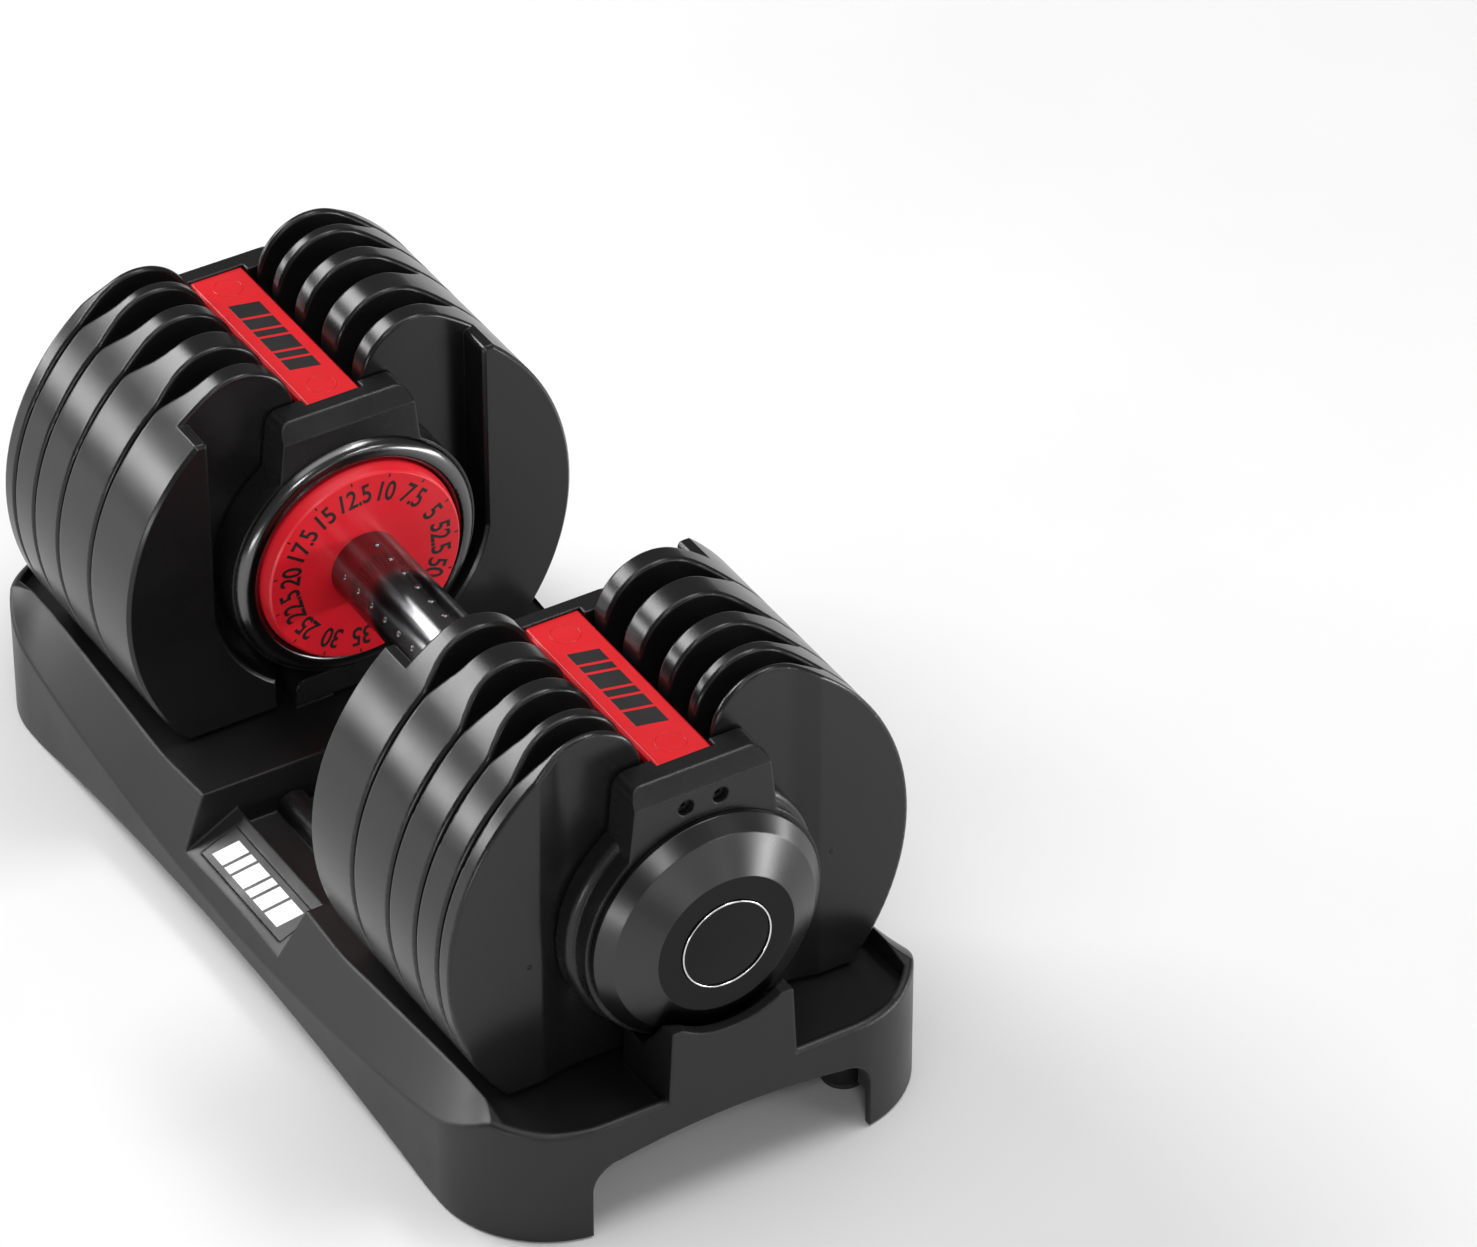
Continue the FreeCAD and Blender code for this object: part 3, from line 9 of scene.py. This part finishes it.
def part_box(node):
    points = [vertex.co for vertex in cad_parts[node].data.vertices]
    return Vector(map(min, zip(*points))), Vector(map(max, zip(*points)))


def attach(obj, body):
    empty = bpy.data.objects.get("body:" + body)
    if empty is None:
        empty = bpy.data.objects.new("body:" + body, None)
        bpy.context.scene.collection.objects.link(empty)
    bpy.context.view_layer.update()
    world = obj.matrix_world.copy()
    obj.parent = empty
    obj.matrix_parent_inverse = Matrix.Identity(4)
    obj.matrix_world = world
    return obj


# Adjustable dumbbell in its tray: finishes, markings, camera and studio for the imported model.
# Lengths below are in millimetres unless a name says otherwise, and MM turns them into metres.

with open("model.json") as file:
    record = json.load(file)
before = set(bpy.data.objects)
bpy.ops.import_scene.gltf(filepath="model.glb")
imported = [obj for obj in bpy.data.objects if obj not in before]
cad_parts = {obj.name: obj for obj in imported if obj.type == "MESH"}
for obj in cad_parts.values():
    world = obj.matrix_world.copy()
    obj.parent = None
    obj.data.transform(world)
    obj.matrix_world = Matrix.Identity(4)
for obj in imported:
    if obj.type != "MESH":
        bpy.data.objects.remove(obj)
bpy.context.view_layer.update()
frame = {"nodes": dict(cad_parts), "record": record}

MM = 0.001
AXIS_Z = 114.0
DIAL_FACE = 62.8
NUMBER_RADIUS = 33.4
TICK_RADIUS = 41.0
SETTING_STEP_DEG = 24.0
REST_MARK_DEG = 97.0
GRIP_RADIUS = 15.5
DOT_ROWS = 5
DOTS_EACH_SIDE = 5
DOT_SPACING = 10.8
BADGE_SLOPE = (28.0, 12.5)
SETTING_NAMES = ["5", "7.5", "10", "12.5", "15", "17.5", "20", "22.5", "25", "30", "35", "40", "45",
                 "50", "52.5"]
REST_SETTING = 3
SIDES = {"right": 1, "left": -1}


# ---------------------------------------------------------------- materials


def new_material(name):
    material = bpy.data.materials.new(name)
    material.use_nodes = True
    nodes, links = material.node_tree.nodes, material.node_tree.links
    return material, nodes, links, nodes["Principled BSDF"]


def noise(nodes, links, coords, scale, detail):
    texture = nodes.new("ShaderNodeTexNoise")
    texture.inputs["Scale"].default_value = scale
    texture.inputs["Detail"].default_value = detail
    links.new(coords, texture.inputs["Vector"])
    return texture.outputs["Fac"]


def spread(nodes, links, value, low, high):
    """Maps the middle of a noise to a range."""
    node = nodes.new("ShaderNodeMapRange")
    node.inputs["From Min"].default_value = 0.3
    node.inputs["From Max"].default_value = 0.7
    node.inputs["To Min"].default_value = low
    node.inputs["To Max"].default_value = high
    links.new(value, node.inputs["Value"])
    return node.outputs["Result"]


def blend_colors(nodes, links, factor, first, second):
    node = nodes.new("ShaderNodeMix")
    node.data_type = "RGBA"
    node.inputs[6].default_value = (*first, 1.0)
    node.inputs[7].default_value = (*second, 1.0)
    links.new(factor, node.inputs[0])
    return node.outputs[2]


def paint_shade_across(nodes, links, color, flat):
    """Painted shade: a darker colour on the faces that stand square across the handle, standing in for
    their dim reflection.
    """
    split = nodes.new("ShaderNodeSeparateXYZ")
    links.new(nodes.new("ShaderNodeTexCoord").outputs["Normal"], split.inputs["Vector"])
    size = nodes.new("ShaderNodeMath")
    size.operation = "ABSOLUTE"
    links.new(split.outputs["X"], size.inputs[0])
    square = nodes.new("ShaderNodeMath")
    square.operation = "GREATER_THAN"
    square.inputs[1].default_value = 0.98
    links.new(size.outputs["Value"], square.inputs[0])
    node = nodes.new("ShaderNodeMix")
    node.data_type = "RGBA"
    node.inputs[7].default_value = (*flat, 1.0)
    links.new(square.outputs["Value"], node.inputs[0])
    links.new(color, node.inputs[6])
    return node.outputs[2]


def finish(name, color, roughness, metallic=0.0, specular=0.5, grain=1200.0, grain_depth=0.00002,
           tint=0.18, rough_spread=0.06, edge=0.0005, flat=None):
    """A finish with colour drift, uneven roughness, fine grain and softened edges.

    The grain's depth and the edge's radius are in metres.
    """
    material, nodes, links, shader = new_material(name)
    coords = nodes.new("ShaderNodeTexCoord").outputs["Object"]
    drift = spread(nodes, links, noise(nodes, links, coords, 22.0, 4.0), 0.0, 1.0)
    low = tuple(channel * (1.0 - tint) for channel in color)
    high = tuple(min(1.0, channel * (1.0 + tint)) for channel in color)
    drifting = blend_colors(nodes, links, drift, low, high)
    # Painted shade: when flat is given, faces square across the handle take that darker colour in place
    # of a dim reflection.
    if flat:
        drifting = paint_shade_across(nodes, links, drifting, flat)
    links.new(drifting, shader.inputs["Base Color"])
    uneven = noise(nodes, links, coords, 57.2, 5.0)
    links.new(spread(nodes, links, uneven, roughness - rough_spread, roughness + rough_spread),
              shader.inputs["Roughness"])
    shader.inputs["Metallic"].default_value = metallic
    shader.inputs["Specular IOR Level"].default_value = specular
    bump = nodes.new("ShaderNodeBump")
    bump.inputs["Strength"].default_value = 0.6
    bump.inputs["Distance"].default_value = grain_depth
    links.new(noise(nodes, links, coords, grain, 2.0), bump.inputs["Height"])
    if edge:
        bevel = nodes.new("ShaderNodeBevel")
        bevel.samples = 6
        bevel.inputs["Radius"].default_value = edge
        links.new(bevel.outputs["Normal"], bump.inputs["Normal"])
    links.new(bump.outputs["Normal"], shader.inputs["Normal"])
    return material


MATERIALS = {
    "tray_plastic": finish("tray_plastic", (0.008, 0.008, 0.0083), 0.38, grain=2600.0,
                           grain_depth=0.00003, edge=0.0016, specular=0.38, tint=0.1, rough_spread=0.03),
    "foot_rubber": finish("foot_rubber", (0.02, 0.02, 0.02), 0.8, grain=1500.0, grain_depth=0.00006),
    "badge_plastic": finish("badge_plastic", (0.02, 0.02, 0.021), 0.4, grain=2400.0, specular=0.4),
    "plate_coating": finish("plate_coating", (0.008, 0.008, 0.0082), 0.25, specular=0.42, tint=0.1,
                            grain=1900.0, grain_depth=0.000012, edge=0.0008, rough_spread=0.02),
    "housing_plastic": finish("housing_plastic", (0.009, 0.009, 0.0092), 0.28, grain=2600.0, tint=0.1,
                              grain_depth=0.00001, edge=0.0014, specular=0.4, rough_spread=0.03),
    "bezel_plastic": finish("bezel_plastic", (0.12, 0.12, 0.122), 0.2, metallic=1.0, tint=0.05,
                            grain=700.0, grain_depth=0.000004, edge=0.0004, rough_spread=0.02),
    "bush_nylon": finish("bush_nylon", (0.5, 0.49, 0.45), 0.5),
    "bar_coating": finish("bar_coating", (0.012, 0.012, 0.0122), 0.35),
    "cover_plastic": finish("cover_plastic", (0.62, 0.012, 0.018), 0.33, grain=2200.0,
                            grain_depth=0.000015, edge=0.0006, tint=0.06),
    # The cap's flat faces square across the handle take a darker painted shade colour in place of their
    # dim reflection.
    "cap_aluminium": finish("cap_aluminium", (0.062, 0.061, 0.061), 0.29, metallic=1.0, grain=1400.0,
                            grain_depth=0.000006, rough_spread=0.02, tint=0.05, edge=0.0006,
                            flat=(0.024, 0.024, 0.025)),
    "cap_disc_aluminium": finish("cap_disc_aluminium", (0.024, 0.024, 0.025), 0.26, metallic=1.0,
                                 grain=1500.0, grain_depth=0.000006, rough_spread=0.02, tint=0.05,
                                 edge=0.0002),
    "spring_steel": finish("spring_steel", (0.5, 0.5, 0.5), 0.3, metallic=1.0),
    "lock_steel": finish("lock_steel", (0.45, 0.45, 0.46), 0.32, metallic=1.0),
    "dial_plastic": finish("dial_plastic", (0.74, 0.014, 0.026), 0.34, grain=2200.0,
                           grain_depth=0.00001, edge=0.0004, tint=0.06),
    "disc_nylon": finish("disc_nylon", (0.03, 0.03, 0.032), 0.5),
    "shaft_steel": finish("shaft_steel", (0.5, 0.5, 0.51), 0.28, metallic=1.0),
    "grip_chrome": finish("grip_chrome", (0.2, 0.2, 0.205), 0.17, metallic=1.0, grain=900.0,
                          grain_depth=0.000003, rough_spread=0.03, tint=0.08, edge=0.0003),
    "screw_steel": finish("screw_steel", (0.06, 0.06, 0.062), 0.35, metallic=1.0, edge=0.0002),
}
INK_BLACK = finish("ink_black", (0.012, 0.010, 0.010), 0.45, edge=0.0)
INK_WHITE = finish("ink_white", (0.82, 0.82, 0.80), 0.42, edge=0.0, tint=0.04)
# Painted highlight: bright metal colour for the thin raised ring on the cap disc's rim.
RIM_HIGHLIGHT_METAL = finish("rim_painted_highlight", (0.75, 0.75, 0.76), 0.2, metallic=1.0, edge=0.0, rough_spread=0.03)


def dress_nodes():
    slots = {row["node"]: row["material_slot"] for row in frame["record"]["subparts"]}
    for name, node in frame["nodes"].items():
        for material_slot in node.material_slots:
            material_slot.link = "OBJECT"
            material_slot.material = MATERIALS[slots[name]]


# ---------------------------------------------------------------- mesh helpers


def add_piece(name, mesh, material, body):
    piece = bpy.data.objects.new(name, mesh)
    bpy.context.collection.objects.link(piece)
    piece.data.materials.clear()
    piece.data.materials.append(material)
    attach(piece, body)
    return piece


def mesh_from(name, build, smooth=False):
    mesh = bpy.data.meshes.new(name)
    shape = bmesh.new()
    build(shape)
    bmesh.ops.recalc_face_normals(shape, faces=shape.faces)
    shape.to_mesh(mesh)
    shape.free()
    for polygon in mesh.polygons:
        polygon.use_smooth = smooth
    return mesh


def lathe(shape, profile, steps, place):
    """Turns a closed profile of (along, radius) points about its own X axis."""
    rings = []
    for step in range(steps):
        angle = 2.0 * math.pi * step / steps
        ring = []
        for along, radius in profile:
            point = Vector((along, radius * math.cos(angle), radius * math.sin(angle))) * MM
            ring.append(shape.verts.new(place @ point))
        rings.append(ring)
    count = len(profile)
    for step in range(steps):
        first, second = rings[step], rings[(step + 1) % steps]
        for index in range(count):
            following = (index + 1) % count
            shape.faces.new((first[index], first[following], second[following], second[index]))


def slab(shape, outline, height, place):
    """Thin raised shape: an outline in its own X and Y, with slightly drawn-in top edges."""
    count = len(outline)
    middle = sum((Vector((*point, 0)) for point in outline), Vector()) / count
    rows = []
    for level, draw in ((-0.3, 0.0), (height * 0.6, 0.0), (height, 0.06)):
        row = []
        for x, y in outline:
            flat = Vector((x, y, 0))
            inward = (middle - flat).normalized() * draw
            row.append(shape.verts.new(place @ ((flat + inward + Vector((0, 0, level))) * MM)))
        rows.append(row)
    for low, high in zip(rows, rows[1:]):
        for index in range(count):
            following = (index + 1) % count
            shape.faces.new((low[index], low[following], high[following], high[index]))
    shape.faces.new(rows[-1])
    shape.faces.new(list(reversed(rows[0])))


def facing(origin, right, up):
    """Placement whose own X is right, Y is up and Z is the face's normal."""
    right, up = Vector(right).normalized(), Vector(up).normalized()
    normal = right.cross(up)
    turn = Matrix((right, up, normal)).transposed().to_4x4()
    return Matrix.Translation(Vector(origin) * MM) @ turn


def end_frame(hand):
    """Placement of one end: its own X points away from the middle, along the handle."""
    turn = Matrix.Rotation(0.0 if hand > 0 else math.pi, 4, "Z")
    return Matrix.Translation(Vector((0, 0, AXIS_Z)) * MM) @ turn


# ---------------------------------------------------------------- dials


def dial_spot(hand, setting, radius):
    """Place of a setting's mark on the dial's face, upright with its top outwards."""
    angle = math.radians(REST_MARK_DEG + SETTING_STEP_DEG * (setting - REST_SETTING))
    up = Vector((0, math.cos(angle), math.sin(angle)))
    normal = Vector((-hand, 0, 0))
    right = up.cross(normal)
    origin = Vector((hand * DIAL_FACE, 0, AXIS_Z)) + up * radius
    return facing(origin, right, up)


def number_mesh(text, size, condense):
    """Mesh of a generic number, centred, in millimetres."""
    curve = bpy.data.curves.new("number", "FONT")
    curve.body = text
    curve.size = size
    curve.align_x = "CENTER"
    curve.align_y = "CENTER"
    curve.extrude = 0.07
    curve.offset = 0.2
    curve.space_character = 0.95
    curve.resolution_u = 4
    carrier = bpy.data.objects.new("number", curve)
    bpy.context.collection.objects.link(carrier)
    bpy.context.view_layer.update()
    evaluated = carrier.evaluated_get(bpy.context.evaluated_depsgraph_get())
    mesh = bpy.data.meshes.new_from_object(evaluated)
    bpy.data.objects.remove(carrier)
    bpy.data.curves.remove(curve)
    mesh.transform(Matrix.Diagonal((condense, 1.0, 1.0, 1.0)))
    return mesh


def dial_numbers(side, hand):
    def build(shape):
        for setting, text in enumerate(SETTING_NAMES):
            mesh = number_mesh(text, 12.4, 0.78)
            mesh.transform(Matrix.Scale(MM, 4))
            mesh.transform(dial_spot(hand, setting, NUMBER_RADIUS))
            shape.from_mesh(mesh)
            bpy.data.meshes.remove(mesh)
            tick = [(-0.35, -0.9), (0.35, -0.9), (0.35, 0.9), (-0.35, 0.9)]
            slab(shape, tick, 0.08, dial_spot(hand, setting, TICK_RADIUS))

    return mesh_from("dial_numbers_" + side, build)


# ---------------------------------------------------------------- grip


def grip_dots():
    """Small raised dots in rows along the grip."""
    rings = [(0.0, 1.45), (0.28, 1.3), (0.5, 0.95), (0.62, 0.45)]

    def build(shape):
        for row in range(DOT_ROWS):
            angle = math.radians(88.0 + 360.0 / DOT_ROWS * row)
            normal = Vector((0, math.cos(angle), math.sin(angle)))
            across = Vector((1, 0, 0))
            for step in range(-DOTS_EACH_SIDE, DOTS_EACH_SIDE + 1):
                origin = Vector((step * DOT_SPACING, 0, AXIS_Z)) + normal * (GRIP_RADIUS - 0.08)
                place = facing(origin, across, normal.cross(across))
                rows = []
                for height, radius in rings:
                    circle = []
                    for k in range(16):
                        turn = 2.0 * math.pi * k / 16
                        point = Vector((radius * math.cos(turn), radius * math.sin(turn), height))
                        circle.append(shape.verts.new(place @ (point * MM)))
                    rows.append(circle)
                for low, high in zip(rows, rows[1:]):
                    for k in range(16):
                        following = (k + 1) % 16
                        shape.faces.new((low[k], low[following], high[following], high[k]))
                shape.faces.new(rows[-1])

    return mesh_from("grip_dots", build, smooth=True)


# ---------------------------------------------------------------- covers, badges and plates


def slanted_bar(left, bottom, width, height, lean):
    return [(left, bottom), (left + width, bottom), (left + width + lean, bottom + height),
            (left + lean, bottom + height)]


def bar_row(shape, place, total, height, pattern, lean, rise):
    """Row of slanted bars, a plain mark in place of lettering."""
    gap = 1.6
    unit = (total - gap * (len(pattern) - 1) - lean) / sum(pattern)
    left = -total / 2.0
    for width in pattern:
        slab(shape, slanted_bar(left, -height / 2.0, width * unit, height, lean), rise, place)
        left += width * unit + gap


def cover_place(hand, along):
    """Placement on top of a cover, at a distance along the handle from the middle."""
    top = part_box("top_cover_right")[1][2] / MM
    return facing((hand * along, 0, top), (hand, 0, 0), (0, hand, 0))


def cover_marks(side, hand):
    def build(shape):
        bar_row(shape, cover_place(hand, 133.0), 54.0, 12.5, (1.0, 0.55, 1.3, 0.55, 1.0, 1.3), 3.0, 0.08)

    return mesh_from("cover_marks_" + side, build)


def cover_rings(side, hand):
    """Faint moulded circles near both ends of a cover."""
    profile = [(-0.2, 5.6), (0.05, 5.6), (0.14, 5.75), (0.14, 5.95), (0.05, 6.1), (-0.2, 6.1)]

    def build(shape):
        for along in (94.5, 171.5):
            place = cover_place(hand, along) @ Matrix.Rotation(-math.pi / 2.0, 4, "Y")
            lathe(shape, profile, 64, place)

    return mesh_from("cover_rings_" + side, build, smooth=True)


def badge_marks(node, hand):
    low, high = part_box(node)
    middle = (Vector(low) + Vector(high)) / 2.0 / MM
    reach, drop = BADGE_SLOPE
    tilt = math.atan2(drop, reach)
    down = Vector((0, hand * math.cos(tilt), -math.sin(tilt)))
    up = -down
    right = up.cross(Vector((0, hand * math.sin(tilt), math.cos(tilt))))
    normal = right.cross(up)
    surface = middle + normal * 0.6

    def build(shape):
        bar_row(shape, facing(surface, right, up), 56.0, 11.5, (1.1, 0.6, 1.2, 0.6, 1.0, 1.3), 3.2, 0.1)

    return mesh_from("badge_marks_" + node, build)


def cap_ring(side, hand):
    """Thin raised ring round the disc in an end cap; its bright metal colour is a painted highlight on
    the disc's rim.
    """
    profile = [(211.3, 18.5), (211.72, 18.5), (211.9, 18.62), (211.96, 18.85), (211.9, 19.08),
               (211.72, 19.22), (211.3, 19.22)]

    def build(shape):
        lathe(shape, profile, 180, end_frame(hand))

    return mesh_from("cap_ring_" + side, build, smooth=True)


def plate_dimples(side, hand):
    """Small round marks on the outer face of the last plate."""
    profile = [(-0.25, 0.35), (0.02, 0.35), (0.1, 0.6), (0.1, 0.95), (0.02, 1.15), (-0.25, 1.15)]

    def build(shape):
        for row in (1, -1):
            centre = Matrix.Translation(Vector((179.0, row * 66.0, -6.0)) * MM)
            lathe(shape, profile, 24, end_frame(hand) @ centre)

    return mesh_from("plate_dimples_" + side, build, smooth=True)


def build_markings():
    for side, hand in SIDES.items():
        add_piece("dial_numbers_" + side, dial_numbers(side, hand), INK_BLACK, "turning_handle")
        add_piece("cover_marks_" + side, cover_marks(side, hand), INK_BLACK, "handle_unit")
        add_piece("cover_rings_" + side, cover_rings(side, hand), MATERIALS["cover_plastic"],
                  "handle_unit")
        # The cap ring's bright metal colour is a painted highlight on the disc's rim.
        add_piece("cap_ring_" + side, cap_ring(side, hand), RIM_HIGHLIGHT_METAL, "handle_unit")
        add_piece("plate_dimples_" + side, plate_dimples(side, hand), MATERIALS["plate_coating"],
                  side + "_plate_5")
    add_piece("grip_dots", grip_dots(), MATERIALS["grip_chrome"], "turning_handle")
    for node, hand in (("badge_plate_front", -1), ("badge_plate_back", 1)):
        add_piece("badge_marks_" + node, badge_marks(node, hand), INK_WHITE, "tray")


# ---------------------------------------------------------------- camera and studio


def aim(thing, target):
    direction = Vector(target) - thing.location
    thing.rotation_euler = direction.to_track_quat("-Z", "Y").to_euler()


def build_camera():
    data = bpy.data.cameras.new("camera")
    camera = bpy.data.objects.new("camera", data)
    bpy.context.collection.objects.link(camera)
    camera.location = (2.1357, -1.1659, 1.9706)
    aim(camera, (0.2196, 0.0, 0.2681))
    data.sensor_width = 36.0
    data.lens = 191.88
    data.clip_end = 50.0
    bpy.context.scene.camera = camera


# Each softbox: angle round the dumbbell and angle up in degrees, distance, width and height in metres,
# and radiance.
SOFTBOXES = {
    "overhead": (0.0, 89.0, 2.5, 2.4, 2.4, 1.7),
    "left_low": (-138.0, 12.0, 2.6, 1.5, 0.4, 12.0),
    "left_high": (-152.0, 38.0, 2.6, 1.5, 0.62, 14.0),
    "right_low": (58.0, 1.0, 2.2, 1.6, 0.22, 20.0),
    "right_mid": (32.0, 27.0, 2.6, 0.8, 0.18, 14.0),
    "top_right": (66.0, 63.0, 2.4, 1.0, 0.45, 11.0),
    "front": (-22.0, 40.0, 3.4, 0.6, 0.36, 20.0),
    "front_fill": (5.0, 10.0, 3.0, 2.6, 0.6, 1.8),
    "front_left_low": (-52.0, 2.5, 2.4, 0.9, 0.22, 12.0),
}


def softbox(name, around, up, distance, width, height, radiance):
    """Lit rectangle that faces the dumbbell."""
    data = bpy.data.lights.new(name, "AREA")
    data.shape = "RECTANGLE"
    data.size = width
    data.size_y = height
    data.energy = radiance * math.pi * width * height
    light = bpy.data.objects.new(name, data)
    centre = Vector((0.0, 0.0, 0.1))
    around, up = math.radians(around), math.radians(up)
    level = distance * math.cos(up)
    light.location = centre + Vector((level * math.cos(around), level * math.sin(around),
                                      distance * math.sin(up)))
    bpy.context.collection.objects.link(light)
    aim(light, centre)


def build_floor():
    def build(shape):
        half = 9.0
        places = ((-half, -half), (half, -half), (half, half), (-half, half))
        corners = [shape.verts.new((x, y, 0.0)) for x, y in places]
        shape.faces.new(corners)

    mesh = mesh_from("floor", build)
    material, nodes, links, shader = new_material("floor_paper")
    coords = nodes.new("ShaderNodeTexCoord").outputs["Object"]
    grain = spread(nodes, links, noise(nodes, links, coords, 3.0, 5.0), 0.0, 1.0)
    links.new(blend_colors(nodes, links, grain, (0.75, 0.75, 0.75), (0.79, 0.79, 0.79)),
              shader.inputs["Base Color"])
    shader.inputs["Roughness"].default_value = 0.9
    shader.inputs["Specular IOR Level"].default_value = 0.1
    mesh.materials.append(material)
    floor = bpy.data.objects.new("floor", mesh)
    bpy.context.collection.objects.link(floor)


def build_studio():
    world = bpy.data.worlds.new("studio")
    bpy.context.scene.world = world
    world.use_nodes = True
    background = world.node_tree.nodes["Background"]
    background.inputs["Color"].default_value = (1.0, 1.0, 1.0, 1.0)
    background.inputs["Strength"].default_value = 0.16
    for name, numbers in SOFTBOXES.items():
        softbox(name, *numbers)
    bpy.context.scene.view_settings.view_transform = "Standard"
    bpy.context.scene.view_settings.look = "None"
    bpy.context.scene.view_settings.exposure = 0.0


build_camera()
dress_nodes()
build_markings()
build_floor()
build_studio()
